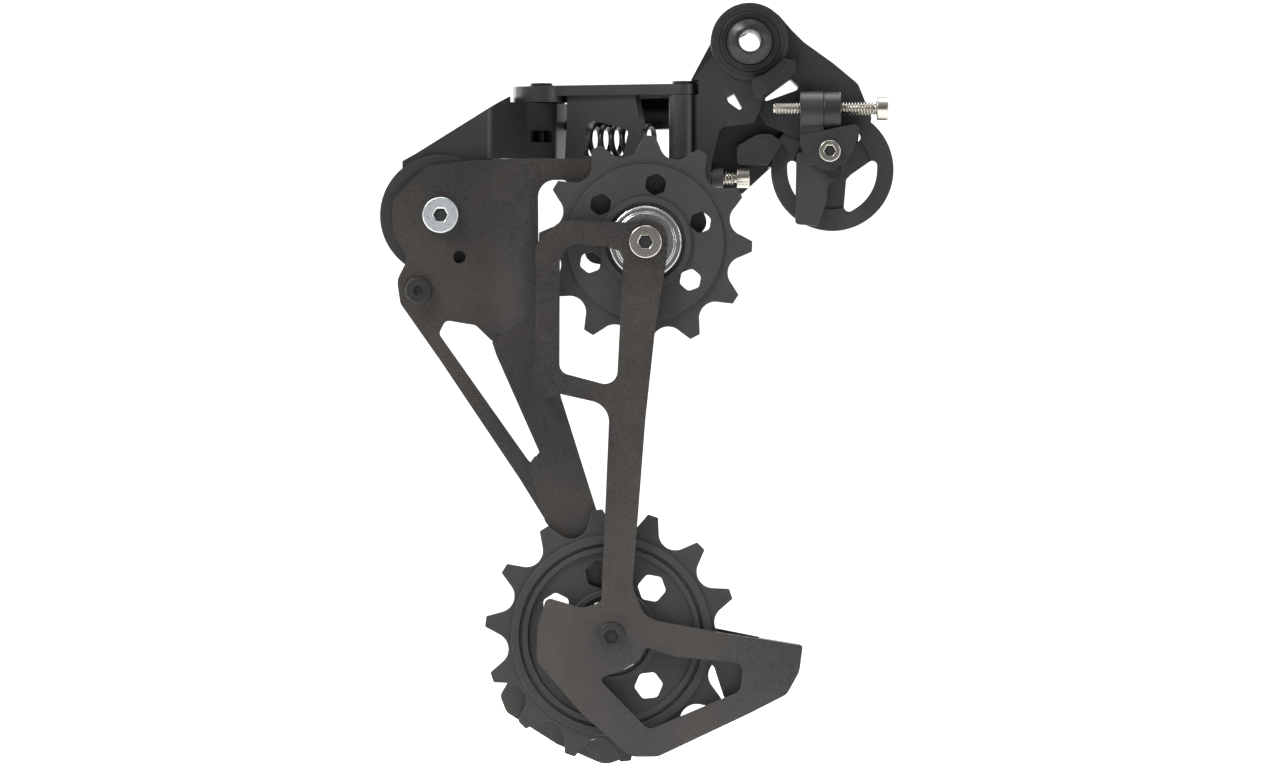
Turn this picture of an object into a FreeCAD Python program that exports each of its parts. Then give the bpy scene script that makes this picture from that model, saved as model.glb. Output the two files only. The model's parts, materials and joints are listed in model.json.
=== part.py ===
import FreeCAD, Part
import math
import os
import Sketcher

# Rear derailleur with a long cage, in millimetres.
# Origin: axis of the mounting bolt, on the face that sits on the frame hanger.
# +X points rearwards, +Y outboard (away from the wheel), +Z up.
# The parallelogram lies in the XY plane, so its four pins are vertical.

doc = FreeCAD.newDocument("RearDerailleur")

# ---------------------------------------------------------------- sizes
SIZES = {
    "knuckle_width": 20.0,       # upper knuckle, along the bolt
    "knuckle_boss": 9.3,         # outer radius of its round boss
    "bolt_bore": 6.05,           # bore for the bush
    "thread_radius": 5.0,        # M10 thread of the mounting bolt
    "thread_reach": 8.5,         # how far the thread stands out inboard
    "hollow_radius": 2.6,        # see-through hole of the bolt
    "pulley_mid": -12.0,         # plane of both jockey wheels
    "tooth_width": 2.6,
    "rim_width": 4.4,
    "hub_width": 6.4,
    "cage_gap": 10.0,            # between the two cage plates
    "plate_thick": 2.0,
    "plate_step": 4.0,           # joggle of the outer plate
    "chain_pitch": 12.7,
    "roller_fit": 7.75,
    "pivot_x": -73.8,            # cage pivot
    "pivot_z": -41.5,
    "upper_x": -24.9,            # upper jockey wheel
    "upper_z": -48.1,
    "lower_x": -33.0,            # lower jockey wheel
    "lower_z": -141.6,
    "housing_radius": 14.5,
    "housing_depth": 22.0,
    "housing_inside": 11.5,
    "spindle_radius": 4.5,
    "spindle_room": 4.58,        # bore of the housing floor
    "link_length": 38.7,
    "link_angle": 28.0,
    "inner_pin_x": -15.8,
    "inner_pin_y": 5.0,
    "outer_pin_dx": 4.0,
    "outer_pin_dy": 11.0,
    "pin_radius": 1.6,
    "cable_wheel_x": 19.85,
    "cable_wheel_z": -30.5,
    "cable_wheel_radius": 14.65,
    "cable_wheel_y": 8.0,
    "cable_wheel_width": 5.6,
    "b_screw_y": -3.0,           # tension screw: its axis
    "b_screw_z": -16.1,
    "b_screw_radius": 1.6,
}

sheet = doc.addObject("Spreadsheet::Sheet", "Sizes")
for row, (name, number) in enumerate(SIZES.items(), start=1):
    sheet.set(f"A{row}", str(number))
    sheet.setAlias(f"A{row}", name)
doc.recompute()

# ---------------------------------------------------------------- helpers
PLANES = {"X": "YZ_Plane", "Y": "XZ_Plane", "Z": "XY_Plane"}


def formula(text):
    """Write sheet names in a formula as the cells that hold them."""
    words = text.replace("(", " ( ").replace(")", " ) ").split()
    return " ".join("Sizes." + w if w in SIZES else w for w in words)


def bind(item, prop, text):
    """Tie a property to a formula of sheet names and numbers."""
    item.setExpression(prop, formula(text))


def new_body(label):
    body = doc.addObject("PartDesign::Body", label)
    body.Label = label
    return body


def rounded(corners):
    """Closed outline of lines and arcs; a corner is (u, v) or (u, v, radius)."""
    count = len(corners)
    pts = [FreeCAD.Vector(c[0], c[1], 0) for c in corners]
    ends = []
    for i, corner in enumerate(corners):
        here = pts[i]
        back = (pts[i - 1] - here).normalize()
        ahead = (pts[(i + 1) % count] - here).normalize()
        radius = corner[2] if len(corner) > 2 else 0
        if radius == 0:
            ends.append((here, None, here))
            continue
        half = back.getAngle(ahead) / 2
        reach = radius / math.tan(half)
        middle = (back + ahead).normalize()
        top = here + middle * (radius / math.sin(half) - radius)
        ends.append((here + back * reach, top, here + ahead * reach))
    edges = []
    for i in range(count):
        start, top, finish = ends[i]
        if top is not None:
            edges.append(Part.Arc(start, top, finish))
        following = ends[(i + 1) % count][0]
        if finish.distanceToPoint(following) > 1e-6:
            edges.append(Part.LineSegment(finish, following))
    return edges


def draw(body, axis, level, edges=(), circles=()):
    """Sketch square to an axis, at a level on it, with outlines and circles."""
    sketch = body.newObject("Sketcher::SketchObject", f"{body.Label}_outline{len(body.Group)}")
    role = PLANES[axis]
    origin_plane = [f for f in body.Origin.OriginFeatures if f.Role == role][0]
    sketch.AttachmentSupport = [(origin_plane, "")]
    sketch.MapMode = "FlatFace"
    bind(sketch, ".AttachmentOffset.Base.z", f"-1 * ( {level} )" if axis == "Y" else f"{level}")
    if edges:
        sketch.addGeometry(list(edges), False)
    for u, v, radius in circles:
        plain = SIZES[radius] if isinstance(radius, str) else radius
        circle = Part.Circle(FreeCAD.Vector(u, v, 0), FreeCAD.Vector(0, 0, 1), plain)
        place = sketch.addGeometry(circle, False)
        if isinstance(radius, str):
            rule = sketch.addConstraint(Sketcher.Constraint("Radius", place, plain))
            sketch.setExpression(f"Constraints[{rule}]", formula(radius))
    return sketch


def add(body, axis, low, high, edges=(), circles=()):
    """Pad an outline so that it fills low..high along the axis."""
    level = high if axis == "Y" else low
    sketch = draw(body, axis, level, edges, circles)
    pad = body.newObject("PartDesign::Pad", f"{body.Label}_pad{len(body.Group)}")
    pad.Profile = sketch
    pad.Refine = False
    bind(pad, "Length", f"( {high} ) - ( {low} )")
    body.Tip = pad
    return pad


def cut(body, axis, low, high, edges=(), circles=()):
    """Pocket an outline out of low..high along the axis."""
    level = low if axis == "Y" else high
    sketch = draw(body, axis, level, edges, circles)
    pocket = body.newObject("PartDesign::Pocket", f"{body.Label}_cut{len(body.Group)}")
    pocket.Profile = sketch
    pocket.Refine = False
    bind(pocket, "Length", f"( {high} ) - ( {low} )")
    body.Tip = pocket
    return pocket


def turned(label, axis, u, v, steps, hex_across=0, hex_from=0, hex_to=0):
    """Round piece on an axis: steps of (low, high, radius[, bore radius])."""
    body = new_body(label)
    for step in steps:
        circles = [(u, v, radius) for radius in step[2:]]
        add(body, axis, step[0], step[1], circles=circles)
    if hex_across:
        cut(body, axis, hex_from, hex_to, hexagon(u, v, hex_across))
    return body


def around(u, v, radius, start, count):
    """Centres evenly spaced round a point."""
    for k in range(count):
        turn = math.radians(start + 360 * k / count)
        yield u + radius * math.cos(turn), v + radius * math.sin(turn)


def hexagon(u, v, across, turn=0, soft=0):
    """Six-sided outline about a point, turned by degrees, its corners rounded by a radius."""
    reach = across / math.sqrt(3)
    return rounded([(x, y, soft) for x, y in around(u, v, reach, turn, 6)])


def bar(x1, y1, x2, y2, half):
    """Outline of a straight bar with round ends about two points."""
    along = FreeCAD.Vector(x2 - x1, y2 - y1, 0).normalize()
    side = FreeCAD.Vector(-along.y, along.x, 0) * half
    first = FreeCAD.Vector(x1, y1, 0)
    second = FreeCAD.Vector(x2, y2, 0)
    return [
        Part.LineSegment(first + side, second + side),
        Part.Arc(second + side, second + along * half, second - side),
        Part.LineSegment(second - side, first - side),
        Part.Arc(first - side, first - along * half, first + side),
    ]


# ---------------------------------------------------------------- mounting bolt
# Hollow M10 bolt; the ring and the bush stay on it, the knuckle turns round them.
turned("mounting_bolt", "Y", 0, 0, [
    ("-1 * thread_reach", 0, "thread_radius", "hollow_radius"),
    (0, "knuckle_width + 0.2", 5.5, "hollow_radius"),
    ("knuckle_width + 0.2", "knuckle_width + 3.4", 8.0, "hollow_radius"),
], hex_across=6.0, hex_from="knuckle_width", hex_to="knuckle_width + 3.4")
turned("bolt_stop_ring", "Y", 0, 0, [(0, 1.5, 7.1, 5.55)])
turned("bolt_bushing", "Y", 0, 0, [(1.6, "knuckle_width - 0.4", 6.0, 5.52)])
turned("bolt_seal", "Y", 0, 0, [(0.35, 1.5, 8.25, 7.25)])
turned("bolt_washer", "Y", 0, 0, [("knuckle_width + 0.05", "knuckle_width + 0.18", 8.6, 5.55)])

# ---------------------------------------------------------------- link places
angle = math.radians(SIZES["link_angle"])
reach_x = SIZES["link_length"] * math.cos(angle)
reach_y = SIZES["link_length"] * math.sin(angle)
inner_rear = (SIZES["inner_pin_x"], SIZES["inner_pin_y"])
outer_rear = (inner_rear[0] + SIZES["outer_pin_dx"], inner_rear[1] + SIZES["outer_pin_dy"])
inner_front = (inner_rear[0] - reach_x, inner_rear[1] + reach_y)
outer_front = (outer_rear[0] - reach_x, outer_rear[1] + reach_y)
INNER_ROOM = 5.4             # radius kept free where a flange of the inner link turns
OUTER_ROOM = 6.8             # the same for the outer link
b_screw = (SIZES["b_screw_y"], SIZES["b_screw_z"])
B_SCREW_BORE = 1.65
PIN_SEAT = 1.62              # bore that holds a link pin
LIMIT_Z = -32.4              # height of the two limit screws
GUIDE_SCREW = (19, -26.3)

# ---------------------------------------------------------------- upper knuckle
knuckle = new_body("b_knuckle")
add(knuckle, "Y", 0.4, "knuckle_width", circles=[(0, 0, "knuckle_boss")])
add(knuckle, "Y", 4, "knuckle_width - 2", rounded([
    (-6, -6), (-5, 7.8), (3, 8.8), (7, 6.5, 2), (10, 3, 2), (13, 0, 4), (20, -5, 6),
    (26, -10, 3), (29.6, -19, 2), (24, -23), (12, -23), (4, -20),
]))
add(knuckle, "Y", 8, "knuckle_width - 1", rounded([
    (-9.2, 0), (-14, -9, 2), (-14, -28, 3), (-11, -35, 2), (-2, -36.5, 2), (5, -30, 2),
    (12, -22), (12, -10), (0, 0),
]))
add(knuckle, "Y", 1, 8.5, rounded([
    (-8.6, -3), (-13.6, -9, 2), (-12.6, -12.6), (-12.6, -36, 1.5), (-9.2, -36, 1), (-9.2, -29, 1),
    (-7, -20.5, 2), (1.2, -19.5, 1), (3, -14.5, 1), (8, -10.5), (3, -4),
]))
add(knuckle, "Y", 3, 8.5, rounded([
    (-3, -29.4, 1), (4.5, -29.4, 1), (8, -24, 1), (5, -22, 1), (2, -22), (-3, -25, 1),
]))
# claw that catches the stop of the hanger
add(knuckle, "Y", -1.6, 1.2, rounded([
    (11, -4.6, 0.8), (11, -7, 1), (9, -9.3, 1), (3.5, -12.7, 0.6), (2.8, -14, 0.5), (1, -13.8, 0.5),
    (0.4, -9), (3.6, -7.8), (6.6, -5.6), (8, -4),
]))
# tongue with the boss of the tension screw
add(knuckle, "Y", -7, 1.1, rounded([
    (12, -22.5), (27, -19.4, 1.5), (24, -27.5, 4), (19.4, -31.2, 3), (14.2, -29.4, 3), (12, -25, 1),
]))
add(knuckle, "Y", 1, 4.9, rounded([(12, -23.6), (12, -12), (20, -12, 2), (26.8, -19.4, 1.5), (25, -23.6)]))
add(knuckle, "X", 12, 17.5, circles=[(-3, -16.9, 4.9)])
add(knuckle, "Y", -6.4, 4.5, rounded([(12, -23), (12, -14), (17.5, -14), (17.5, -23)]))
# lug for the axle of the cable wheel
add(knuckle, "Y", 11.5, 15, rounded([
    (13, -21), (26.5, -21, 1), (25, -31, 4), (19.85, -36.4, 4), (14.6, -31, 4),
]))
# bosses of the two rear link pins
add(knuckle, "Z", -27.9, -12.6, circles=[(*inner_rear, 3.5)])
add(knuckle, "Z", -27.9, -12.6, rounded([(-15.8, 2.8), (-12, 2.8), (-12, 8.4), (-15.8, 8.4)]))
add(knuckle, "Z", -18.3, -13.2, circles=[(*outer_rear, 3.9)])
for low, high in ((-12.6, -9.2), (-30.9, -27.9)):
    cut(knuckle, "Z", low, high, circles=[(*inner_rear, INNER_ROOM)])
for low, high in ((-13.2, -10.2), (-20.8, -18.3)):
    cut(knuckle, "Z", low, high, circles=[(*outer_rear, OUTER_ROOM)])
# room for the cable wheel, the bolt, the pins and the screws
wheel = (SIZES["cable_wheel_x"], SIZES["cable_wheel_z"])
cut(knuckle, "Y", 4.9, 11.3, circles=[(*wheel, 15.4)])
cut(knuckle, "Y", 0, 1.6, circles=[(0, 0, 8.3)])
cut(knuckle, "Y", 1, "knuckle_width + 1", circles=[(0, 0, "bolt_bore")])
cut(knuckle, "Y", -2, 21, rounded([
    (-5.5, -13.3, 0.4), (-3.6, -12.2, 0.4), (-1.6, -15.8, 0.4), (-2.5, -16.3, 0.3), (-5, -14.5, 0.3),
]))
cut(knuckle, "Y", 0.9, 21, rounded([
    (3.2, -14.4, 0.4), (4, -13, 0.4), (9.8, -8.8, 0.5), (12, -10.8, 0.6), (11, -11.6, 0.5),
]))
cut(knuckle, "Z", -28, -12.5, circles=[(*inner_rear, PIN_SEAT)])
cut(knuckle, "Z", -22, -13, circles=[(*outer_rear, PIN_SEAT)])
cut(knuckle, "X", 17.5, 21.75, circles=[(-3, -16.9, 4.85)])
cut(knuckle, "X", 11, 24, circles=[(*b_screw, B_SCREW_BORE)])
cut(knuckle, "Y", -8, 2, circles=[(*GUIDE_SCREW, 1.55)])
cut(knuckle, "Y", 11, 16, circles=[(*wheel, 2.02)])
cut(knuckle, "X", -16, -8, circles=[(3.6, LIMIT_Z, 1.76)])
cut(knuckle, "X", -16, -9, circles=[(12.0, LIMIT_Z, 1.76)])
cut(knuckle, "X", -9.1, 7, circles=[(12.0, LIMIT_Z, 2.8)])

turned("b_tension_screw", "X", *b_screw, [
    (5.6, 30.3, "b_screw_radius"), (30.3, 33, 2.75),
], hex_across=2.5, hex_from=31.3, hex_to=33)
barrel = turned("b_screw_barrel", "X", -3, -16.9, [(17.5, 21.7, 4.8)])
cut(barrel, "X", 17, 22, circles=[(*b_screw, B_SCREW_BORE)])
for name, y in (("high_limit_screw", 3.6), ("low_limit_screw", 12.0)):
    turned(name, "X", y, LIMIT_Z, [(-14, -3, 1.7), (-3, 0, 2.5)], hex_across=2.0, hex_from=-2, hex_to=0)
    turned(name + "_collar", "X", y, LIMIT_Z, [(-9, -6.3, 2.5, 1.72)])

# ---------------------------------------------------------------- cable wheel
cable_wheel = new_body("cable_wheel")
wheel_low = "cable_wheel_y - cable_wheel_width / 2"
wheel_high = "cable_wheel_y + cable_wheel_width / 2"
add(cable_wheel, "Y", wheel_low, wheel_high, circles=[
    (*wheel, "cable_wheel_radius"), (*wheel, 9.4)])
add(cable_wheel, "Y", "cable_wheel_y - 2", "cable_wheel_y + 2", circles=[
    (*wheel, 9.6), (*wheel, 2.07)])
for k in range(3):
    turn = math.radians(90 + 120 * k)
    side = math.radians(47)
    cut(cable_wheel, "Y", 3, 13, rounded([
        (wheel[0] + 3.9 * math.cos(turn), wheel[1] + 3.9 * math.sin(turn), 0.8),
        (wheel[0] + 11.4 * math.cos(turn - side), wheel[1] + 11.4 * math.sin(turn - side), 1.2),
        (wheel[0] + 12.2 * math.cos(turn), wheel[1] + 12.2 * math.sin(turn), 11),
        (wheel[0] + 11.4 * math.cos(turn + side), wheel[1] + 11.4 * math.sin(turn + side), 1.2),
    ]))
turned("cable_wheel_axle", "Y", *wheel, [(1.3, 15, 2.0), (15, 17.4, 3.4)],
       hex_across=3, hex_from=16, hex_to=17.4)
guide = new_body("cable_guide")
add(guide, "Y", 1.2, 4.7, rounded([
    (11.2, -26.5, 1), (23, -25.4, 2), (23.2, -30, 2), (18.6, -34.6, 1.5), (18.4, -38, 1),
    (16.4, -44, 1), (10.9, -43.6, 1),
]))
cut(guide, "Y", 1, 5, circles=[(*wheel, 2.02)])
cut(guide, "Y", 1, 5, circles=[(*GUIDE_SCREW, 1.55)])
turned("guide_screw", "Y", *GUIDE_SCREW, [(-7, 4.6, 1.5), (-9, -7, 2.6)],
       hex_across=2.4, hex_from=-9, hex_to=-6.8)

# ---------------------------------------------------------------- links
# Each link is drawn from its rear pin, pointing forwards, then turned into place.
length = SIZES["link_length"]
LEAN = math.cos(angle)       # foreshortening of the link seen from the wheel side
PIN_FIT = 1.66


def place(body, x, y):
    turn = FreeCAD.Rotation(FreeCAD.Vector(0, 0, 1), -SIZES["link_angle"])
    body.Placement = FreeCAD.Placement(FreeCAD.Vector(x, y, 0), turn)


def along(x):
    """Distance from the rear pin, along the link, of a place seen at x."""
    return (x - inner_rear[0]) / LEAN


inner_link = new_body("inner_link")
add(inner_link, "Z", -12.5, -10, bar(0, 0, -length, 0, 3.4))
add(inner_link, "Z", -14, -10.2, circles=[(-length, 0, 6.8)])
add(inner_link, "Z", -30.4, -28, bar(0, 0, -length, 0, 3.4))
add(inner_link, "Y", -2, 0.6, rounded([
    (along(-26.6), -12), (along(-42.8), -12), (along(-43), -21, 3), (along(-43.4), -28.2),
    (along(-27.6), -28.2), (along(-25.3), -24, 2), (along(-24.8), -21, 2), (along(-25.5), -18, 2),
]))
cut(inner_link, "Y", -3, 3, rounded([
    (along(-39), -27.2, 1.2), (along(-38.2), -20, 1), (along(-36.8), -18.6, 1), (along(-34), -19.2, 1),
    (along(-31), -20, 1), (along(-28), -21, 1), (along(-29.4), -27.2, 1.2),
]))
for low, high in ((-15, -9), (-31, -27)):
    for far in (0, -length):
        cut(inner_link, "Z", low, high, circles=[(far, 0, PIN_FIT)])
place(inner_link, *inner_rear)

CLAMP = (-19.35, -15.75)     # cable clamp, halfway along the outer link
outer_link = new_body("outer_link")
for low, high in ((-13.1, -11), (-20.5, -18.4)):
    add(outer_link, "Z", low, high, bar(0, 0, -length, 0, 4))
    add(outer_link, "Z", low, high, rounded([
        (-6, 2), (-length + 6, 2), (-length + 9, 5.6, 2), (-9, 5.6, 2)]))
    cut(outer_link, "Z", low, high, rounded([
        (-7, -6), (-length + 7, -6), (-length + 9, -2.4, 1), (-9, -2.4, 1)]))
add(outer_link, "Z", -18.4, -13.1, rounded([
    (-7, 2.2), (-length + 7, 2.2), (-length + 9, 5.6, 2), (-9, 5.6, 2)]))
cut(outer_link, "Y", -1, 7, circles=[(*CLAMP, 1.55)])
for low, high in ((-14, -10), (-21, -18)):
    cut(outer_link, "Z", low, high, circles=[(0, 0, PIN_FIT)])
    cut(outer_link, "Z", low, high, circles=[(-length, 0, 1.8)])
place(outer_link, *outer_rear)

# cable clamp on the outboard face of the outer link
anchor = new_body("cable_anchor_bolt")
add(anchor, "Y", 0, 7, circles=[(*CLAMP, 1.5)])
add(anchor, "Y", 7, 9.6, circles=[(*CLAMP, 3.4)])
cut(anchor, "Y", 8, 9.6, hexagon(*CLAMP, 3))
place(anchor, *outer_rear)
anchor_washer = new_body("cable_anchor_washer")
add(anchor_washer, "Y", 5.65, 6.95, circles=[(*CLAMP, 3.9), (*CLAMP, 1.56)])
place(anchor_washer, *outer_rear)

for name, spot, low, high in (
    ("inner_rear_pin", inner_rear, -30.6, -9.9), ("inner_front_pin", inner_front, -30.6, -9.9),
    ("outer_rear_pin", outer_rear, -20.7, -10.9), ("outer_front_pin", outer_front, -20.7, -10.9),
):
    turned(name, "Z", *spot, [(low, high, "pin_radius"), (high, high + 0.6, 2.7)])

# ---------------------------------------------------------------- front knuckle
pivot = (SIZES["pivot_x"], SIZES["pivot_z"])
LOCK = (-69.2, -58.9)        # axis of the cage lock button
p_knuckle = new_body("p_knuckle")
add(p_knuckle, "Y", -0.6, "housing_depth", circles=[(pivot[0], pivot[1], "housing_radius")])
add(p_knuckle, "Z", -27.8, -14.2, rounded([
    (-83, 1.5), (-62, 1.5, 3), (-53.5, 14, 4), (-46.4, 20.5, 3), (-42.8, 32, 3), (-46, 38.2, 3.5),
    (-53, 36, 5), (-66, 24, 6), (-83, 21),
]))
add(p_knuckle, "Z", -40, -27, rounded([(-83, 1.5), (-66, 1.5), (-59.5, 8, 2), (-59.5, 20, 2), (-83, 20)]))
add(p_knuckle, "Z", -14.4, -12.5, rounded([
    (-70, 4), (-60, 4, 2), (-57.4, 12, 1), (-57.4, 26, 3), (-70, 21)]))
add(p_knuckle, "Y", 4, 20, bar(*LOCK, -71.5, -50, 3.9))
cut(p_knuckle, "Y", -5, 45, rounded([(-100, -5), (-57.2, -5), (-57.2, -12.6), (-79.6, -26.6), (-100, -38)]))
cut(p_knuckle, "Z", -20.7, -18.3, circles=[(*outer_front, OUTER_ROOM)])
cut(p_knuckle, "Y", 2.4, "housing_depth + 0.5", circles=[(pivot[0], pivot[1], "housing_inside")])
cut(p_knuckle, "Y", -1, 3, circles=[(pivot[0], pivot[1], "spindle_room")])
cut(p_knuckle, "Y", 10, 23.1, rounded([
    (-52.4, -20.8, 0.6), (-52.4, -23.7, 0.6), (-47.4, -23.7, 0.6), (-47.4, -20.8, 0.6)]))
cut(p_knuckle, "Z", -28, -14, circles=[(*inner_front, PIN_SEAT)])
cut(p_knuckle, "Z", -28, -13, circles=[(*outer_front, PIN_SEAT)])
cut(p_knuckle, "Y", 5, 21, circles=[(*LOCK, 2.5)])

turned("cage_spindle", "Y", *pivot, [
    (-0.95, 19, "spindle_radius", 2.55), (-0.95, -0.7, 6.5, 2.55)])
turned("cage_bolt", "Y", *pivot, [(-3, 12, 2.5), (-5.2, -3, 4.3)], hex_across=3, hex_from=-5.2, hex_to=-2)
turned("cage_seal", "Y", *pivot, [(-0.68, -0.62, 12.0, 6.6)])
turned("damper_clutch", "Y", *pivot, [(12.5, 18.9, 7.2, 4.52)])
turned("damper_band", "Y", *pivot, [(12.8, 18.6, 8.1, 7.26)])
turned("damper_cover", "Y", *pivot, [(22.02, 24.6, 13.6), (24.6, 26, 12.0), (19.2, 22.02, 11.4, 9.6)])
turned("cage_lock_button", "Y", *LOCK, [(8, 22.5, 2.42), (22.5, 24.7, 2.9)])


def coil(label, radius, wire, pitch, turns, placement):
    """Helical spring along its own Z axis, from its own origin."""
    helix = Part.makeHelix(pitch, pitch * turns, radius)
    profile = Part.Wire(Part.makeCircle(
        wire, FreeCAD.Vector(radius, 0, 0), FreeCAD.Vector(0, 1, pitch / (2 * math.pi * radius))))
    spring = doc.addObject("Part::Feature", label)
    spring.Label = label
    spring.Shape = Part.Wire(helix).makePipeShell([profile], True, True)
    spring.Placement = placement
    return spring


into_housing = FreeCAD.Rotation(FreeCAD.Vector(1, 0, 0), -90)
cage_spring = coil("cage_spring", 9.2, 0.9, 2.0, 4.5, FreeCAD.Placement(
    FreeCAD.Vector(pivot[0], 3.4, pivot[1]), into_housing))
ahead = FreeCAD.Vector(-math.cos(angle), math.sin(angle), 0)
beside = FreeCAD.Vector(ahead.y, -ahead.x, 0)
start = FreeCAD.Vector(*inner_rear, -23.6) + ahead * 11.3 + beside * 5.2
return_spring = coil("return_spring", 3.9, 0.65, 2.95, 6.5, FreeCAD.Placement(
    start, FreeCAD.Rotation(FreeCAD.Vector(0, 0, 1), ahead)))

cover_screws = doc.addObject("Part::Feature", "damper_cover_screws")
cover_screws.Label = "damper_cover_screws"
screw_shapes = []
for x, z in around(*pivot, 9.2, 60, 3):
    screw = Part.makeCylinder(2.3, 1.5, FreeCAD.Vector(x, 26, z), FreeCAD.Vector(0, 1, 0))
    socket = Part.makeCylinder(1.1, 1.1, FreeCAD.Vector(x, 26.6, z), FreeCAD.Vector(0, 1, 0))
    screw_shapes.append(screw.cut(socket))
cover_screws.Shape = Part.makeCompound(screw_shapes)
extra_pieces = [cage_spring, return_spring, cover_screws]

# ---------------------------------------------------------------- jockey wheels
WHEELS = {
    "upper": dict(spot=("upper_x", "upper_z"), teeth=12, phase=-2.3, tip=25.4, rim=(18.6, 11.0),
                  holes=6, first=20.0, ring=13.9, hole=4.7),
    "lower": dict(spot=("lower_x", "lower_z"), teeth=14, phase=19.3, tip=30.1, rim=(23.8, 21.9),
                  holes=7, first=49.6, ring=14.8, hole=6.0),
}
VALLEY = 3.95                # radius of the roller seat between two teeth
SEAT_HALF = math.radians(58)
TIP_HALF = 1.25              # half the width of a tooth tip
HOLE_SOFT = 1.1              # corner radius of the holes in the web


def teeth_outline(x, z, teeth, phase, tip):
    pitch_radius = SIZES["chain_pitch"] / 2 / math.sin(math.pi / teeth)
    seat_radius = pitch_radius + (VALLEY - SIZES["roller_fit"] / 2)
    step = 2 * math.pi / teeth

    def polar(cx, cz, radius, turn):
        return FreeCAD.Vector(cx + radius * math.cos(turn), cz + radius * math.sin(turn), 0)

    edges = []
    for k in range(teeth):
        middle = math.radians(phase) + step * (k + 0.5)
        seat = polar(x, z, seat_radius, middle)
        back = middle + math.pi
        first = polar(seat.x, seat.y, VALLEY, back + SEAT_HALF)
        bottom = polar(seat.x, seat.y, VALLEY, back)
        last = polar(seat.x, seat.y, VALLEY, back - SEAT_HALF)
        tooth = middle + step / 2
        tips = [polar(x, z, tip, tooth + side * TIP_HALF / tip) for side in (-1, 1)]
        following = middle + step
        seat_next = polar(x, z, seat_radius, following)
        first_next = polar(seat_next.x, seat_next.y, VALLEY, following + math.pi + SEAT_HALF)
        edges.append(Part.Arc(first, bottom, last))
        edges.append(Part.LineSegment(last, tips[0]))
        edges.append(Part.LineSegment(tips[0], tips[1]))
        edges.append(Part.LineSegment(tips[1], first_next))
    return edges


for name, wheel_data in WHEELS.items():
    x, z = (SIZES[alias] for alias in wheel_data["spot"])
    jockey = new_body(f"{name}_pulley")
    add(jockey, "Y", "pulley_mid - tooth_width / 2", "pulley_mid + tooth_width / 2",
        teeth_outline(x, z, wheel_data["teeth"], wheel_data["phase"], wheel_data["tip"]))
    for radius_out, radius_in in (wheel_data["rim"], (21.2, 19.8) if name == "lower" else (12.4, 7)):
        add(jockey, "Y", "pulley_mid - rim_width / 2", "pulley_mid + rim_width / 2",
            circles=[(x, z, radius_out), (x, z, radius_in)])
    add(jockey, "Y", "pulley_mid - hub_width / 2", "pulley_mid + hub_width / 2",
        circles=[(x, z, 10.9), (x, z, 8)])
    cut(jockey, "Y", "pulley_mid - 4", "pulley_mid + 4", circles=[(x, z, 7.02)])
    cut(jockey, "Y", "pulley_mid - hub_width", "pulley_mid - hub_width / 2 + 1",
        circles=[(x, z, 9.5)])
    cut(jockey, "Y", "pulley_mid + hub_width / 2 - 1", "pulley_mid + hub_width",
        circles=[(x, z, 9.5)])
    spots = around(x, z, wheel_data["ring"], wheel_data["first"], wheel_data["holes"])
    for k, (u, v) in enumerate(spots):
        facing = wheel_data["first"] + 360 * k / wheel_data["holes"]
        cut(jockey, "Y", "pulley_mid - 4", "pulley_mid + 4",
            hexagon(u, v, wheel_data["hole"], facing, HOLE_SOFT))
    turned(f"{name}_pulley_bearing", "Y", x, z, [
        ("pulley_mid - 2.1", "pulley_mid + 2.1", 7.0, 4.05)])
    turned(f"{name}_pulley_sleeve", "Y", x, z, [
        ("pulley_mid - cage_gap / 2", "pulley_mid + cage_gap / 2", 4.0, 2.52)])
    turned(f"{name}_pulley_shield_inner", "Y", x, z, [
        ("pulley_mid - 3.9", "pulley_mid - 2.3", 6.9, 4.01),
        ("pulley_mid - 3.4", "pulley_mid - 2.3", 8.6, 6.8)])
    turned(f"{name}_pulley_shield_outer", "Y", x, z, [
        ("pulley_mid + 2.3", "pulley_mid + 3.9", 6.9, 4.01),
        ("pulley_mid + 2.3", "pulley_mid + 3.4", 8.6, 6.8)])
    head = 3.9 if name == "upper" else 3.3
    turned(f"{name}_pulley_bolt", "Y", x, z, [(-19, -5, 2.5), (-21.0, -19, head)],
           hex_across=3, hex_from=-21, hex_to=-17.8)

upper = (SIZES["upper_x"], SIZES["upper_z"])
lower = (SIZES["lower_x"], SIZES["lower_z"])

# ---------------------------------------------------------------- inner cage plate
inner_plate = new_body("inner_cage_plate")
inner_low = "pulley_mid - cage_gap / 2 - plate_thick"
add(inner_plate, "Y", inner_low, "pulley_mid - cage_gap / 2", rounded([
    (-29, -43.5, 2), (-25, -42.6, 4), (-19.4, -44, 4.5), (-20, -53, 6), (-22.5, -68), (-24.9, -90),
    (-28, -130, 6), (-25, -137.4, 6), (-8, -140.6), (12.4, -143.8, 0.6), (11.6, -150, 5),
    (8.6, -155.4, 3),
    (0, -159.8), (-22, -170.2, 4), (-28.5, -170.2, 4), (-40, -160), (-50.8, -147.4, 4), (-50.4, -139),
    (-48.4, -132.4, 1.4), (-40, -134.9, 3), (-35.4, -133.6, 1.5), (-34, -100), (-33.4, -86.8, 5),
    (-45, -84.2), (-50, -85.4, 1), (-52.4, -79.4, 1.5), (-51, -74), (-51, -48.6, 4), (-45, -43, 4),
]))
cut(inner_plate, "Y", -20, -16, rounded([
    (-30.1, -50.6, 2), (-31.3, -75), (-31.8, -82.6, 3), (-45.3, -79, 2.5), (-45.2, -48.2, 4.5),
    (-34, -49.2, 2),
]))
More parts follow.
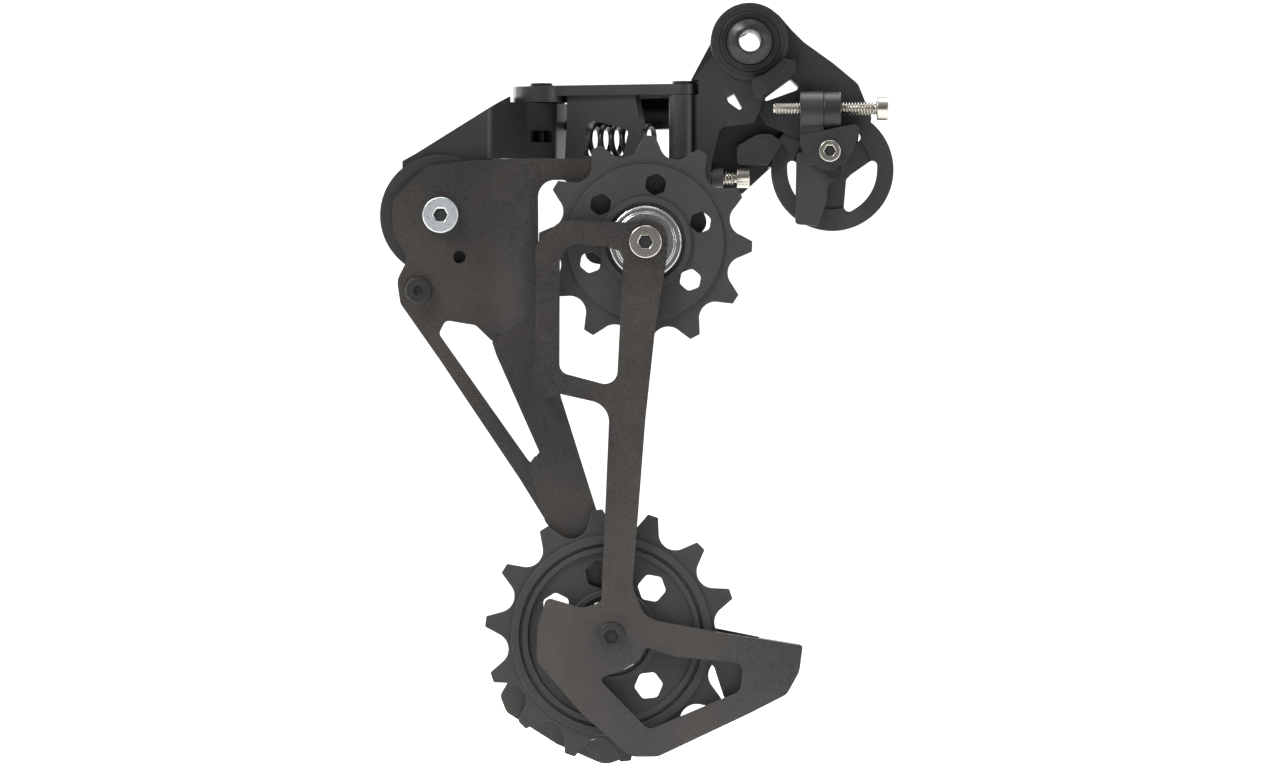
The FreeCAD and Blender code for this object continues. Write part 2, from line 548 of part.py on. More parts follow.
cut(inner_plate, "Y", -20, -16, rounded([
    (-36.2, -151.6, 1), (-24.2, -163.8, 2), (-2.4, -154.6, 2), (-1.8, -148, 2), (-18, -146.4),
    (-24.8, -144.2, 1),
    (-26.4, -147.4, 3), (-31, -150, 3),
]))
# hook that bridges to the outer plate, and the guard wall at the rear end
add(inner_plate, "Y", -17, -7, rounded([
    (-50, -85.3, 0.8), (-52.4, -79.4, 1), (-50.6, -78.6, 0.4), (-48.2, -84.2, 0.6)]))
add(inner_plate, "Y", -17, -8.2, rounded([
    (2, -142.1, 0.5), (12.4, -143.8, 0.8), (11.6, -150, 5), (8.6, -155.4, 3), (4.4, -157.5, 0.4),
    (5, -155.8, 0.4),
    (7.6, -153.9, 2), (10.1, -149.6, 3), (10.7, -145.1, 0.8), (2, -143.7, 0.5),
]))
cut(inner_plate, "Y", -20, -16, circles=[(*upper, 2.52), (*lower, 2.52)])

# ---------------------------------------------------------------- outer cage plate
outer_plate = new_body("outer_cage_plate")
outer_low = "pulley_mid + cage_gap / 2"
add(outer_plate, "Y", f"{outer_low} + plate_step", f"{outer_low} + plate_step + plate_thick", rounded([
    (-58, -28.3), (-66, -28.4, 4), (-77, -29.7, 4), (-85.4, -37.6, 5), (-85.2, -45.6, 4),
    (-81.6, -52, 3),
    (-84.2, -57, 4), (-83.4, -62.6, 3), (-74, -76), (-55, -104.3), (-48.6, -114.6), (-45.4, -108),
    (-53, -99.8),
    (-74.2, -69.8, 1.4), (-72.6, -66.6, 1.4), (-65.4, -67.8, 2), (-61.6, -71.5, 1.5), (-58, -72),
]))
add(outer_plate, "Y", outer_low, f"{outer_low} + plate_thick", rounded([
    (-52.2, -28), (-36, -28.2, 6), (-24, -29.6, 8), (-13, -35, 6), (-10, -43.8, 3), (-17.5, -53.4, 5),
    (-30, -54.2, 5), (-38.8, -52.8, 3), (-40.5, -46), (-40.5, -37, 4), (-44, -33.2, 2),
    (-50.5, -33.2, 4),
    (-50.3, -66, 8), (-45, -85),
    (-36.5, -112), (-26.8, -134, 5), (-20, -137.6, 4), (2, -142), (4, -143.6, 0.6), (3, -157, 2),
    (-6, -157.2, 1.5),
    (-8.8, -148.4, 2), (-24, -147, 5), (-30, -152, 5), (-35, -162, 2), (-27, -170, 2),
    (-34.5, -172.6, 5),
    (-46, -167.6), (-58, -160, 2), (-59.6, -156, 2), (-56.8, -151.4, 1), (-44, -150, 4),
    (-40.6, -138, 4),
    (-42, -123, 4), (-48.8, -114.6, 1), (-52.8, -101.4, 1), (-50.2, -98), (-60.4, -75),
    (-61.6, -71.4, 1),
    (-52.2, -66),
]))
# sloping steps between the two levels of the plate
add(outer_plate, "Z", -70, -28.1, rounded([
    (-61.4, -1), (-61.4, -3), (-52.4, -7), (-50.6, -7), (-50.6, -5), (-60, -1)]))
add(outer_plate, "Y", -5.2, -2.8, rounded([
    (-52.9, -101.2), (-51.2, -98.9), (-45.6, -106.6), (-48.9, -111)]))
cut(outer_plate, "Y", -8, 0, circles=[(*upper, 2.52), (*lower, 2.52)])
cut(outer_plate, "Y", -8, 0, circles=[(*pivot, 2.55), (-69.3, -51.5, 1.5), (-79, -59.5, 2.02)])
cut(outer_plate, "Y", -8, 0, rounded([
    (-38.4, -166.9, 0.5), (-34, -165.4, 0.5), (-34.2, -164.2, 0.5), (-38.6, -165.6, 0.5)]))
turned("cage_stop_screw", "Y", -79, -59.5, [
    (-3, 4.2, 2.0), (-4.2, -3, 3.3), (-5.2, -4.2, 2.6), (-7, -5.2, 3.0)],
    hex_across=2.2, hex_from=-7, hex_to=-4.6)

# ---------------------------------------------------------------- check and write
doc.recompute()
pieces = [item for item in doc.Objects if item.TypeId == "PartDesign::Body" or item in extra_pieces]
for item in doc.Objects:
    if "Invalid" in item.State or "Error" in item.State:
        raise RuntimeError(f"{item.Label} failed: {item.State}")
for item in doc.Objects:
    if item.TypeId == "PartDesign::Pocket":
        if not item.Shape.Volume < item.BaseFeature.Shape.Volume - 1e-3:
            raise RuntimeError(f"{item.Label} cuts nothing")
os.makedirs("parts", exist_ok=True)
for piece in pieces:
    shape = piece.Shape
    if shape.isNull() or not shape.isValid() or not shape.Solids:
        raise RuntimeError(f"{piece.Label} has no valid solid")
    shape.exportStep(f"parts/{piece.Label}.step")
    box = shape.BoundBox
    print(f"{piece.Label}: {len(shape.Solids)} solid, {shape.Volume:.0f} mm3, "
          f"X {box.XMin:.1f}..{box.XMax:.1f} Y {box.YMin:.1f}..{box.YMax:.1f} "
          f"Z {box.ZMin:.1f}..{box.ZMax:.1f}")
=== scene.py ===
# %% [markdown]
# # Rear derailleur
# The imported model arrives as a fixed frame: every casting, plate, wheel and screw is already
# in its place. This lesson gives each of them rounded edges and a finish, and adds what a
# lathe, a thread die or a spring winder would leave. Lengths are in metres.

# %% Load the frame
import json
import math

import bpy
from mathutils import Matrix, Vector


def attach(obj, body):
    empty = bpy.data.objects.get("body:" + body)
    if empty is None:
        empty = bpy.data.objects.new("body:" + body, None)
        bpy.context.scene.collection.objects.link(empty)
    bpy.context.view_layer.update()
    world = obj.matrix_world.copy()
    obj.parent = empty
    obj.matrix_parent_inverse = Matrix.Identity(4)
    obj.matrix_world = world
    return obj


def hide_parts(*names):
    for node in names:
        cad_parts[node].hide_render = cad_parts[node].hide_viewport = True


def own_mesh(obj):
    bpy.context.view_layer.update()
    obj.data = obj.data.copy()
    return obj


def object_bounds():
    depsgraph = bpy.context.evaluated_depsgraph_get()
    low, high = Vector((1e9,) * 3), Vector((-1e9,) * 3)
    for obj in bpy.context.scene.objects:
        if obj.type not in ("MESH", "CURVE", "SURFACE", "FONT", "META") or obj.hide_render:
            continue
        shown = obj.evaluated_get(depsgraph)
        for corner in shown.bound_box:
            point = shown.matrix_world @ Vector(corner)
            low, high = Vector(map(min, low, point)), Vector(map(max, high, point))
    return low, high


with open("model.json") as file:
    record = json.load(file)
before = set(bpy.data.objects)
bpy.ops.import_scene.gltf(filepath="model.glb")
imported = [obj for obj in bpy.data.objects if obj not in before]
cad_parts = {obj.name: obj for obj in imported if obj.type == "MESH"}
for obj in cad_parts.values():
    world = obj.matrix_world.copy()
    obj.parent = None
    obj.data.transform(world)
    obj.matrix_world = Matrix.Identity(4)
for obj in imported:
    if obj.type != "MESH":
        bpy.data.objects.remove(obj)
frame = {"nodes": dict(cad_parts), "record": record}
cad_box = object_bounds()
MM = 0.001
slot_of = {part["node"]: part["material_slot"] for part in frame["record"]["subparts"]}
body_of = {node: body for body, nodes in frame["record"]["behaviour"]["bodies"].items() for node in nodes}
print("nodes", len(slot_of), "box", cad_box)

# %% [markdown]
# ## Camera
# The part is seen square on from the wheel side, through a long lens, so its plates keep
# their true outline. The lens is 300 mm on a 36 mm sensor; the distance follows from the
# width of view.

# %% Camera
VIEW_WIDTH = 303.6 * MM
LENS = 300.0
SENSOR = 36.0
view_middle = Vector((-26.8 * MM, -8 * MM, -81.8 * MM))
distance = VIEW_WIDTH * LENS / SENSOR
bpy.ops.object.camera_add(location=view_middle - Vector((0, distance, 0)), rotation=(math.radians(90), 0, 0))
camera = bpy.context.object
camera.data.lens = LENS
camera.data.sensor_width = SENSOR
camera.data.clip_end = 20
bpy.context.scene.camera = camera

# %% [markdown]
# ## Studio
# Dark parts show their form only by what they reflect, so large soft panels stand to both
# sides and above, and the sweep behind stays almost white.

# %% Sweep and lights
FLOOR_DROP = 14 * MM
FLOOR_Z = cad_box[0][2] - FLOOR_DROP


def plain_material(name, colour, roughness):
    material = bpy.data.materials.new(name)
    material.use_nodes = True
    shader = material.node_tree.nodes["Principled BSDF"]
    shader.inputs["Base Color"].default_value = (*colour, 1)
    shader.inputs["Roughness"].default_value = roughness
    return material


SWEEP_BEND = 3.0
SWEEP_BACK = 7.0
SWEEP_STEPS = 40
SWEEP_FLAT = 0.3             # share of the strip that is floor
SWEEP_RISE = 0.7             # share after which it is wall
FLOOR_LENGTH = 5
WALL_HEIGHT = 6
SWEEP_WIDTH = 30
bpy.ops.object.select_all(action="DESELECT")
bpy.ops.mesh.primitive_grid_add(x_subdivisions=1, y_subdivisions=SWEEP_STEPS, size=1)
sweep = bpy.context.object
sweep.name = "studio_sweep"
for vertex in sweep.data.vertices:
    run = vertex.co.y + 0.5
    turn = max(0.0, min(1.0, (run - SWEEP_FLAT) / (SWEEP_RISE - SWEEP_FLAT))) * math.pi / 2
    forward = (min(run, SWEEP_FLAT) / SWEEP_FLAT - 1) * FLOOR_LENGTH + SWEEP_BEND * math.sin(turn)
    rise = SWEEP_BEND * (1 - math.cos(turn)) + max(0.0, run - SWEEP_RISE) / (1 - SWEEP_RISE) * WALL_HEIGHT
    vertex.co = (vertex.co.x * SWEEP_WIDTH, SWEEP_BACK - SWEEP_BEND + forward, FLOOR_Z + rise)
bpy.ops.object.shade_smooth()
paper = plain_material("pale_sweep", (0.9, 0.9, 0.9), 0.8)
paper_shader = paper.node_tree.nodes["Principled BSDF"]
paper_shader.inputs["Emission Color"].default_value = (1, 1, 1, 1)
paper_shader.inputs["Emission Strength"].default_value = 0.55
sweep.data.materials.append(paper)


def softbox(name, place, aim, size, power):
    """Square panel of light at a place, turned to a point."""
    bpy.ops.object.light_add(type="AREA", location=place)
    lamp = bpy.context.object
    lamp.name = name
    lamp.data.size = size
    lamp.data.energy = power
    lamp.rotation_euler = (Vector(aim) - Vector(place)).to_track_quat("-Z", "Y").to_euler()
    return lamp


heart = (-0.03, 0, -0.08)
softbox("key_panel", (-0.6, -0.6, 0.65), heart, 0.4, 13)
softbox("fill_panel", (0.85, -0.8, 0.15), heart, 0.35, 3)
softbox("top_panel", (0.05, 0.1, 0.9), heart, 0.6, 6)
softbox("left_strip", (-0.9, 0.15, -0.05), heart, 0.4, 2.5)
softbox("back_panel", (0.5, 0.9, 0.5), heart, 0.6, 4)
softbox("rim_strip", (-0.5, 0.55, 0.1), heart, 0.3, 2)

world = bpy.data.worlds.new("white_room")
bpy.context.scene.world = world
world.use_nodes = True
room = world.node_tree
toward = room.nodes.new("ShaderNodeTexCoord")
split = room.nodes.new("ShaderNodeSeparateXYZ")
band = room.nodes.new("ShaderNodeMapRange")
for label, value in (("From Min", -1.0), ("From Max", -0.35), ("To Min", 0.16), ("To Max", 0.75)):
    band.inputs[label].default_value = value
room.links.new(toward.outputs["Generated"], split.inputs["Vector"])
room.links.new(split.outputs["Y"], band.inputs["Value"])
room.links.new(band.outputs["Result"], room.nodes["Background"].inputs["Strength"])
room.nodes["Background"].inputs["Color"].default_value = (1, 1, 1, 1)
bpy.context.scene.view_settings.view_transform = "Standard"

# %% [markdown]
# ## Shared effects
# Three effects turn up on nearly every finish: fine grain in the skin, slow drift of tone,
# and edges that hands and chains have rubbed. Each is a node group with named inputs, built
# once and placed with its own values.


# %% Node group helpers
def new_group(name, inputs, outputs):
    """Empty shader group; sockets are (name, kind, default)."""
    tree = bpy.data.node_groups.new(name, "ShaderNodeTree")
    for label, kind, value in inputs:
        socket = tree.interface.new_socket(label, in_out="INPUT", socket_type=kind)
        socket.default_value = value
    for label, kind in outputs:
        tree.interface.new_socket(label, in_out="OUTPUT", socket_type=kind)
    start = tree.nodes.new("NodeGroupInput")
    finish = tree.nodes.new("NodeGroupOutput")
    return tree, start, finish


def node(tree, kind, **values):
    """New node with its settings and input values; spaces are written as underscores."""
    item = tree.nodes.new(kind)
    for label, value in values.items():
        socket = label.replace("_", " ")
        if socket in item.inputs:
            item.inputs[socket].default_value = value
        else:
            setattr(item, label, value)
    return item


def noise(tree, place, scale, detail=3.0, roughness=0.55):
    item = node(tree, "ShaderNodeTexNoise", Detail=detail, Roughness=roughness)
    tree.links.new(place, item.inputs["Vector"])
    if isinstance(scale, float):
        item.inputs["Scale"].default_value = scale
    else:
        tree.links.new(scale, item.inputs["Scale"])
    return item


# %% Grain: cast, moulded or coated skin
grain, start, finish = new_group(
    "skin_grain",
    [("Scale", "NodeSocketFloat", 2500.0), ("Depth", "NodeSocketFloat", 0.2),
     ("Pits", "NodeSocketFloat", 0.2)],
    [("Normal", "NodeSocketVector"), ("Mask", "NodeSocketFloat")])
coords = node(grain, "ShaderNodeTexCoord")
fine = noise(grain, coords.outputs["Object"], start.outputs["Scale"], 4.0)
pits = node(grain, "ShaderNodeTexVoronoi", Scale=900.0)
grain.links.new(coords.outputs["Object"], pits.inputs["Vector"])
pit_range = node(grain, "ShaderNodeMapRange", From_Min=0.0, From_Max=0.25, To_Min=0.0, To_Max=1.0)
grain.links.new(pits.outputs["Distance"], pit_range.inputs["Value"])
pit_mix = node(grain, "ShaderNodeMix", data_type="FLOAT")
grain.links.new(start.outputs["Pits"], pit_mix.inputs[0])
grain.links.new(fine.outputs[0], pit_mix.inputs[2])
grain.links.new(pit_range.outputs["Result"], pit_mix.inputs[3])
bump = node(grain, "ShaderNodeBump", Distance=0.00006)
grain.links.new(start.outputs["Depth"], bump.inputs["Strength"])
grain.links.new(pit_mix.outputs[0], bump.inputs["Height"])
grain.links.new(bump.outputs["Normal"], finish.inputs["Normal"])
grain.links.new(fine.outputs[0], finish.inputs["Mask"])

# %% Drift: slow change of tone over a piece
drift, start, finish = new_group(
    "tone_drift",
    [("Colour", "NodeSocketColor", (0.02, 0.02, 0.02, 1)),
     ("Second", "NodeSocketColor", (0.03, 0.03, 0.03, 1)),
     ("Scale", "NodeSocketFloat", 60.0), ("Contrast", "NodeSocketFloat", 0.5)],
    [("Colour", "NodeSocketColor"), ("Mask", "NodeSocketFloat")])
coords = node(drift, "ShaderNodeTexCoord")
clouds = noise(drift, coords.outputs["Object"], start.outputs["Scale"], 6.0, 0.62)
ramp = node(drift, "ShaderNodeMapRange", From_Min=0.35, From_Max=0.68)
drift.links.new(clouds.outputs[0], ramp.inputs["Value"])
drift.links.new(start.outputs["Contrast"], ramp.inputs["To Max"])
blend = node(drift, "ShaderNodeMix", data_type="RGBA")
drift.links.new(ramp.outputs["Result"], blend.inputs[0])
drift.links.new(start.outputs["Colour"], blend.inputs[6])
drift.links.new(start.outputs["Second"], blend.inputs[7])
drift.links.new(blend.outputs[2], finish.inputs["Colour"])
drift.links.new(ramp.outputs["Result"], finish.inputs["Mask"])

# %% Rub: edges worn a little brighter and smoother
rub, start, finish = new_group(
    "edge_rub",
    [("Amount", "NodeSocketFloat", 0.5), ("Breakup", "NodeSocketFloat", 700.0)],
    [("Mask", "NodeSocketFloat")])
coords = node(rub, "ShaderNodeTexCoord")
shape = node(rub, "ShaderNodeNewGeometry")
edge = node(rub, "ShaderNodeMapRange", From_Min=0.515, From_Max=0.6)
rub.links.new(shape.outputs["Pointiness"], edge.inputs["Value"])
patchy = noise(rub, coords.outputs["Object"], start.outputs["Breakup"], 3.0)
keep = node(rub, "ShaderNodeMapRange", From_Min=0.4, From_Max=0.62)
rub.links.new(patchy.outputs[0], keep.inputs["Value"])
both = node(rub, "ShaderNodeMath", operation="MULTIPLY")
rub.links.new(edge.outputs["Result"], both.inputs[0])
rub.links.new(keep.outputs["Result"], both.inputs[1])
scaled = node(rub, "ShaderNodeMath", operation="MULTIPLY")
rub.links.new(both.outputs[0], scaled.inputs[0])
rub.links.new(start.outputs["Amount"], scaled.inputs[1])
rub.links.new(scaled.outputs[0], finish.inputs["Mask"])


# %% [markdown]
# ## Finishes
# One function makes every finish from the three effects: colour drifts between two tones,
# rubbed edges show a third, and grain sets both the bump and the spread of the gloss.

# %% Finish builder
def make_finish(name, tone, second, worn, roughness, metallic=0.0, scale=2500.0, depth=0.25, pits=0.1,
                contrast=0.35, drift_scale=60.0, wear=0.15, specular=0.35, spread=0.12):
    material = bpy.data.materials.new(name)
    material.use_nodes = True
    tree = material.node_tree
    shader = tree.nodes["Principled BSDF"]
    shader.inputs["Metallic"].default_value = metallic
    shader.inputs["Specular IOR Level"].default_value = specular
    skin = node(tree, "ShaderNodeGroup", node_tree=grain)
    skin.inputs["Scale"].default_value = scale
    skin.inputs["Depth"].default_value = depth
    skin.inputs["Pits"].default_value = pits
    tones = node(tree, "ShaderNodeGroup", node_tree=drift)
    tones.inputs["Colour"].default_value = (*tone, 1)
    tones.inputs["Second"].default_value = (*second, 1)
    tones.inputs["Scale"].default_value = drift_scale
    tones.inputs["Contrast"].default_value = contrast
    edges = node(tree, "ShaderNodeGroup", node_tree=rub)
    edges.inputs["Amount"].default_value = wear
    colour = node(tree, "ShaderNodeMix", data_type="RGBA")
    tree.links.new(edges.outputs["Mask"], colour.inputs[0])
    tree.links.new(tones.outputs["Colour"], colour.inputs[6])
    colour.inputs[7].default_value = (*worn, 1)
    tree.links.new(colour.outputs[2], shader.inputs["Base Color"])
    gloss = node(tree, "ShaderNodeMapRange", From_Min=0.3, From_Max=0.7,
                 To_Min=roughness - spread / 2, To_Max=roughness + spread / 2)
    tree.links.new(skin.outputs["Mask"], gloss.inputs["Value"])
    tree.links.new(gloss.outputs["Result"], shader.inputs["Roughness"])
    tree.links.new(skin.outputs["Normal"], shader.inputs["Normal"])
    return material


finishes = {
    "black_alloy": make_finish("satin_black_casting", (0.013, 0.013, 0.0135), (0.019, 0.019, 0.0195),
                               (0.05, 0.05, 0.05), 0.40, scale=1800.0, depth=0.35, pits=0.25),
    "coated_plate": make_finish("coated_steel_sheet", (0.010, 0.0095, 0.0095), (0.030, 0.0245, 0.020),
                                (0.05, 0.045, 0.04), 0.30, scale=2600.0, depth=0.10, contrast=0.9,
                                drift_scale=24.0, specular=0.5),
    "nylon": make_finish("moulded_nylon", (0.016, 0.016, 0.0165), (0.023, 0.023, 0.0235), (0.04, 0.04, 0.04),
                         0.55, scale=1500.0, depth=0.4, pits=0.15),
    "rubber_seal": make_finish("seal_rubber", (0.006, 0.006, 0.006), (0.01, 0.01, 0.01),
                               (0.012, 0.012, 0.012), 0.7, scale=1800.0, depth=0.3),
    "stainless": make_finish("stainless_steel", (0.42, 0.40, 0.36), (0.52, 0.50, 0.46), (0.6, 0.58, 0.54),
                             0.24, metallic=1.0, scale=3000.0, depth=0.015, pits=0.0, specular=0.5,
                             spread=0.06),
    "zinc": make_finish("zinc_plate", (0.60, 0.64, 0.66), (0.72, 0.75, 0.77), (0.8, 0.8, 0.8), 0.32,
                        metallic=1.0, scale=1700.0, depth=0.03, pits=0.0, specular=0.5),
    "polished_steel": make_finish("polished_steel", (0.45, 0.45, 0.44), (0.55, 0.55, 0.54), (0.7, 0.7, 0.7),
                                  0.2, metallic=1.0, scale=3000.0, depth=0.01, pits=0.0, specular=0.5,
                                  spread=0.05),
    "black_steel": make_finish("black_oxide_steel", (0.014, 0.014, 0.0145), (0.024, 0.0235, 0.023),
                               (0.07, 0.068, 0.065), 0.34, metallic=0.25, scale=2600.0, depth=0.15),
    "bronze_bush": make_finish("sintered_bronze", (0.42, 0.28, 0.13), (0.5, 0.35, 0.18), (0.6, 0.45, 0.25),
                               0.4, metallic=1.0, scale=2500.0, depth=0.3, pits=0.4, specular=0.5),
}
for name, cad in frame["nodes"].items():
    cad.data.materials.clear()
    cad.data.materials.append(finishes[slot_of[name]])

# %% [markdown]
# ## Rounded edges
# No real edge is sharp: castings have radii, pressed sheet has a rolled edge. Each visible
# piece is a merged copy of its frame node with a small bevel on every edge that turns
# sharply, and it rides on the same body.


# %% Edge rounding
def rounded_copy(name, width, segments=2, limit=28):
    """Copy a frame node, merge its loose triangles and bevel its edges (width in mm)."""
    bpy.ops.object.select_all(action="DESELECT")
    cad = frame["nodes"][name]
    piece = cad.copy()
    piece.data = cad.data.copy()
    piece.name = name + "_finished"
    piece.parent = None
    bpy.context.scene.collection.objects.link(piece)
    bpy.context.view_layer.objects.active = piece
    piece.select_set(True)
    bpy.ops.object.mode_set(mode="EDIT")
    bpy.ops.mesh.select_all(action="SELECT")
    bpy.ops.mesh.remove_doubles(threshold=0.004 * MM)
    bpy.ops.mesh.dissolve_limited(angle_limit=math.radians(1.0))
    bpy.ops.object.mode_set(mode="OBJECT")
    bevel = piece.modifiers.new("edge", "BEVEL")
    bevel.width = width * MM
    bevel.segments = segments
    bevel.limit_method = "ANGLE"
    bevel.angle_limit = math.radians(limit)
    bevel.use_clamp_overlap = True
    bpy.ops.object.modifier_apply(modifier="edge")
    bpy.ops.object.shade_smooth_by_angle(angle=math.radians(40))
    weighted = piece.modifiers.new("flat_faces", "WEIGHTED_NORMAL")
    weighted.weight = 100
    weighted.keep_sharp = True
    bpy.ops.object.modifier_apply(modifier="flat_faces")
    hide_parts(name)
    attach(piece, body_of[name])
    print(piece.name, len(piece.data.polygons), "faces")
    return piece


EDGE_WIDTHS = {
    "b_knuckle": 0.7, "p_knuckle": 0.9, "inner_link": 0.35, "outer_link": 0.35, "inner_cage_plate": 0.6,
    "outer_cage_plate": 0.6, "upper_pulley": 0.3, "lower_pulley": 0.3, "cable_wheel": 0.35,
    "cable_guide": 0.3, "damper_cover": 0.5, "mounting_bolt": 0.25, "b_tension_screw": 0.2,
    "b_screw_barrel": 0.3, "upper_pulley_bolt": 0.3, "lower_pulley_bolt": 0.3, "cage_bolt": 0.3,
    "cage_stop_screw": 0.2, "guide_screw": 0.25, "cage_lock_button": 0.3, "inner_rear_pin": 0.15,
    "inner_front_pin": 0.15, "outer_rear_pin": 0.15, "outer_front_pin": 0.15, "cable_anchor_bolt": 0.25,
    "cable_anchor_washer": 0.15, "bolt_stop_ring": 0.2, "cable_wheel_axle": 0.25, "damper_cover_screws": 0.15,
    "high_limit_screw": 0.2, "low_limit_screw": 0.2, "upper_pulley_shield_inner": 0.2,
    "lower_pulley_shield_inner": 0.2, "upper_pulley_shield_outer": 0.2, "lower_pulley_shield_outer": 0.2,
}
finished = {name: rounded_copy(name, width) for name, width in EDGE_WIDTHS.items()}

# %% [markdown]
# ## Teeth
# Jockey teeth are moulded with sloping flanks, and every other tooth is slimmer so that it
# passes between a chain's narrow plates.

# %% Tapered teeth
WHEEL_MIDDLE = -12.0
WHEELS = {
    "upper_pulley": ((-24.9, -48.1), 12, -2.3, 25.4),
    "lower_pulley": ((-33.0, -141.6), 14, 19.3, 30.1),
}
TAPER_DEPTH = 4.2
WIDE_TAPER = 0.28
SLIM_TAPER = 0.5
for name, ((x, z), teeth, phase, tip) in WHEELS.items():
    for vertex in finished[name].data.vertices:
        across = vertex.co.x / MM - x
        up = vertex.co.z / MM - z
        radius = math.hypot(across, up)
        share = max(0.0, min(1.0, (radius - tip + TAPER_DEPTH) / TAPER_DEPTH))
        step = round((math.degrees(math.atan2(up, across)) - phase) / (360 / teeth))
        taper = SLIM_TAPER if step % 2 else WIDE_TAPER
        wheel_plane = WHEEL_MIDDLE * MM
        vertex.co.y = wheel_plane + (vertex.co.y - wheel_plane) * (1 - taper * share)

# %% [markdown]
# ## Threads and springs
# A screw thread and a spring are the same thing to a lathe: a small profile swept along a
# helix. Each thread is wound over its screw, whose shank is first turned down to the root.


# %% Winder
DIRECTIONS = {"X": Vector((1, 0, 0)), "Y": Vector((0, 1, 0))}
THREAD_DEPTH = 0.6           # of the pitch


def wound(name, profile, pitch, turns, steps, place, direction, node_name):
    """Sweep profile points (radius, height) in mm along a helix about a line."""
    bpy.ops.object.select_all(action="DESELECT")
    bpy.ops.mesh.primitive_circle_add(vertices=len(profile), radius=1)
    piece = bpy.context.object
    piece.name = name
    for vertex, (radius, height) in zip(piece.data.vertices, profile):
        vertex.co = (radius * MM, 0, height * MM)
    sweep_round = piece.modifiers.new("wind", "SCREW")
    sweep_round.angle = 2 * math.pi * turns
    sweep_round.screw_offset = pitch * turns * MM
    sweep_round.steps = int(steps * turns)
    sweep_round.render_steps = int(steps * turns)
    bpy.ops.object.modifier_apply(modifier="wind")
    piece.rotation_euler = direction.to_track_quat("Z", "Y").to_euler()
    piece.location = Vector(place) * MM
    bpy.ops.object.transform_apply(location=True, rotation=True, scale=True)
    bpy.ops.object.mode_set(mode="EDIT")
    bpy.ops.mesh.select_all(action="SELECT")
    bpy.ops.mesh.remove_doubles(threshold=0.002 * MM)
    bpy.ops.mesh.normals_make_consistent(inside=False)
    bpy.ops.object.mode_set(mode="OBJECT")
    bpy.ops.object.shade_smooth_by_angle(angle=math.radians(50))
    piece.data.materials.append(finishes[slot_of[node_name]])
    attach(piece, body_of[node_name])
    return piece


def threaded(name, axis, centre, radius, pitch, low, high):
    """Turn a finished screw's shank down to the root and wind a thread on it."""
    index = "XYZ".index(axis)
    sides = [k for k in range(3) if k != index]
    root = radius - THREAD_DEPTH * pitch
    for vertex in finished[name].data.vertices:
        height = vertex.co[index] / MM
        offsets = [vertex.co[k] / MM - centre[n] for n, k in enumerate(sides)]
        spread = math.hypot(*offsets)
        if low - 0.01 <= height <= high + 0.01 and 0.85 * radius < spread < 1.05 * radius:
            for n, k in enumerate(sides):
                vertex.co[k] = (centre[n] + offsets[n] * root / spread) * MM
    place = [0, 0, 0]
    place[index] = low + 0.05
    for n, k in enumerate(sides):
        place[k] = centre[n]
    profile = [(root - 0.05, 0), (radius - 0.01, pitch * 0.42), (radius - 0.01, pitch * 0.55),
               (root - 0.05, pitch * 0.97)]
    turns = (high - low - 0.1) / pitch - 1
    wound(name + "_thread", profile, pitch, turns, 20, place, DIRECTIONS[axis], name)


threaded("b_tension_screw", "X", (-3.0, -16.1), 1.6, 0.7, 5.6, 30.2)
threaded("high_limit_screw", "X", (3.6, -32.4), 1.7, 0.7, -14.0, -3.1)
threaded("low_limit_screw", "X", (12.0, -32.4), 1.7, 0.7, -14.0, -3.1)
threaded("mounting_bolt", "Y", (0.0, 0.0), 5.0, 1.0, -8.5, -0.1)

# %% Springs
def wire_section(coil_radius, wire, sides=12):
    turns = [2 * math.pi * k / sides for k in range(sides)]
    return [(coil_radius + wire * math.cos(turn), wire * math.sin(turn)) for turn in turns]


def spring(name, coil_radius, wire, pitch, turns, place, direction):
    piece = wound(name + "_wire", wire_section(coil_radius, wire), pitch, turns, 28, place, direction, name)
    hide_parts(name)
    return piece


LINK_ANGLE = math.radians(28)
ahead = Vector((-math.cos(LINK_ANGLE), math.sin(LINK_ANGLE), 0))
beside = Vector((ahead.y, -ahead.x, 0))
SPRING_FOOT = Vector((-15.8, 5.0, -23.6)) + ahead * 11.3 + beside * 5.2
return_spring = spring("return_spring", 3.9, 0.65, 2.95, 6.5, SPRING_FOOT, ahead)
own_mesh(return_spring)
spring("cage_spring", 9.2, 0.9, 2.0, 4.5, (-73.8, 3.4, -41.5), Vector((0, 1, 0)))

# %% [markdown]
# ## Bearing shields
# The pressed shields carry rolled rings that catch the light as thin circles.


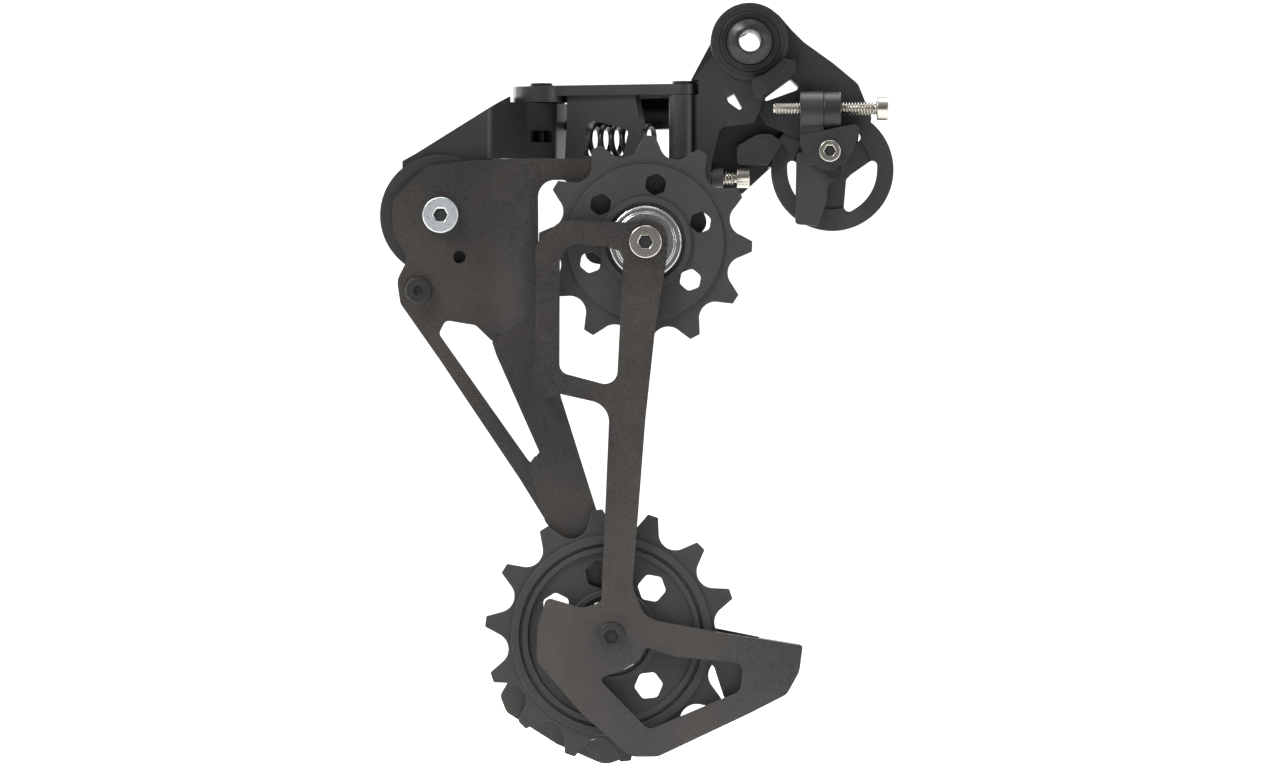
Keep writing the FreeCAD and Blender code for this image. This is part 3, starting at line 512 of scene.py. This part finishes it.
# %% Rolled rings
def rolled_ring(name, centre, radius, wire, level, node_name, look=None):
    bpy.ops.object.select_all(action="DESELECT")
    bpy.ops.mesh.primitive_torus_add(major_radius=radius * MM, minor_radius=wire * MM, major_segments=72,
                                     minor_segments=10, rotation=(math.radians(90), 0, 0),
                                     location=(centre[0] * MM, level * MM, centre[1] * MM))
    piece = bpy.context.object
    piece.name = name
    bpy.ops.object.transform_apply(location=True, rotation=True, scale=True)
    bpy.ops.object.shade_smooth()
    look = look or slot_of[node_name]
    piece.data.materials.append(finishes[look])
    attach(piece, body_of[node_name])


SHIELD_LEVELS = {"inner": -15.45, "outer": -8.55}
RING_RADII = (7.15, 8.25)
RING_WIRE = 0.22
for name, wheel in WHEELS.items():
    for side, level in SHIELD_LEVELS.items():
        for number, radius in enumerate(RING_RADII):
            rolled_ring(f"{name}_ring_{side}_{number}", wheel[0], radius, RING_WIRE, level,
                        f"{name}_shield_{side}")

rolled_ring("bolt_stop_ring_rim", (0, 0), 6.85, 0.16, 0.16, "bolt_stop_ring", "stainless")
rolled_ring("mounting_bolt_end_rim", (0, 0), 4.1, 0.14, -8.36, "mounting_bolt", "stainless")

# %% [markdown]
# ## Sockets
# A hex socket reads as a dark six-sided spot, because little light reaches its floor. That shade is painted
# in: a thin hex disc in the black seal-rubber finish is laid at each socket's floor.


# %% Painted socket shade
SOCKET_FIT = 0.995
SHADE_DISC_THICKNESS = 0.3


# Dark hex disc at a socket's floor: painted shade, standing in for the shadow there.
def painted_socket_shade(node_name, centre, across, level):
    bpy.ops.object.select_all(action="DESELECT")
    reach = across / math.sqrt(3) * SOCKET_FIT * MM
    bpy.ops.mesh.primitive_cylinder_add(vertices=6, radius=reach, depth=SHADE_DISC_THICKNESS * MM,
                                        location=(centre[0] * MM, level * MM, centre[1] * MM),
                                        rotation=(math.radians(90), math.radians(30), 0))
    piece = bpy.context.object
    piece.name = node_name + "_painted_socket_shade"
    bpy.ops.object.transform_apply(location=True, rotation=True, scale=True)
    # The black seal-rubber finish on this disc is painted shade, not a rubber part.
    piece.data.materials.append(finishes["rubber_seal"])
    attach(piece, body_of[node_name])


for node_name, centre, across, level in (
    ("upper_pulley_bolt", (-24.9, -48.1), 3.0, -20.1), ("lower_pulley_bolt", (-33.0, -141.6), 3.0, -20.1),
    ("cage_bolt", (-73.8, -41.5), 3.0, -4.3), ("guide_screw", (19.0, -26.3), 2.4, -8.1),
    ("cage_stop_screw", (-79.0, -59.5), 2.2, -6.0),
):
    painted_socket_shade(node_name, centre, across, level)

# %% [markdown]
# ## Final update
# The view layer is brought up to date.

# %% Final update
bpy.context.view_layer.update()
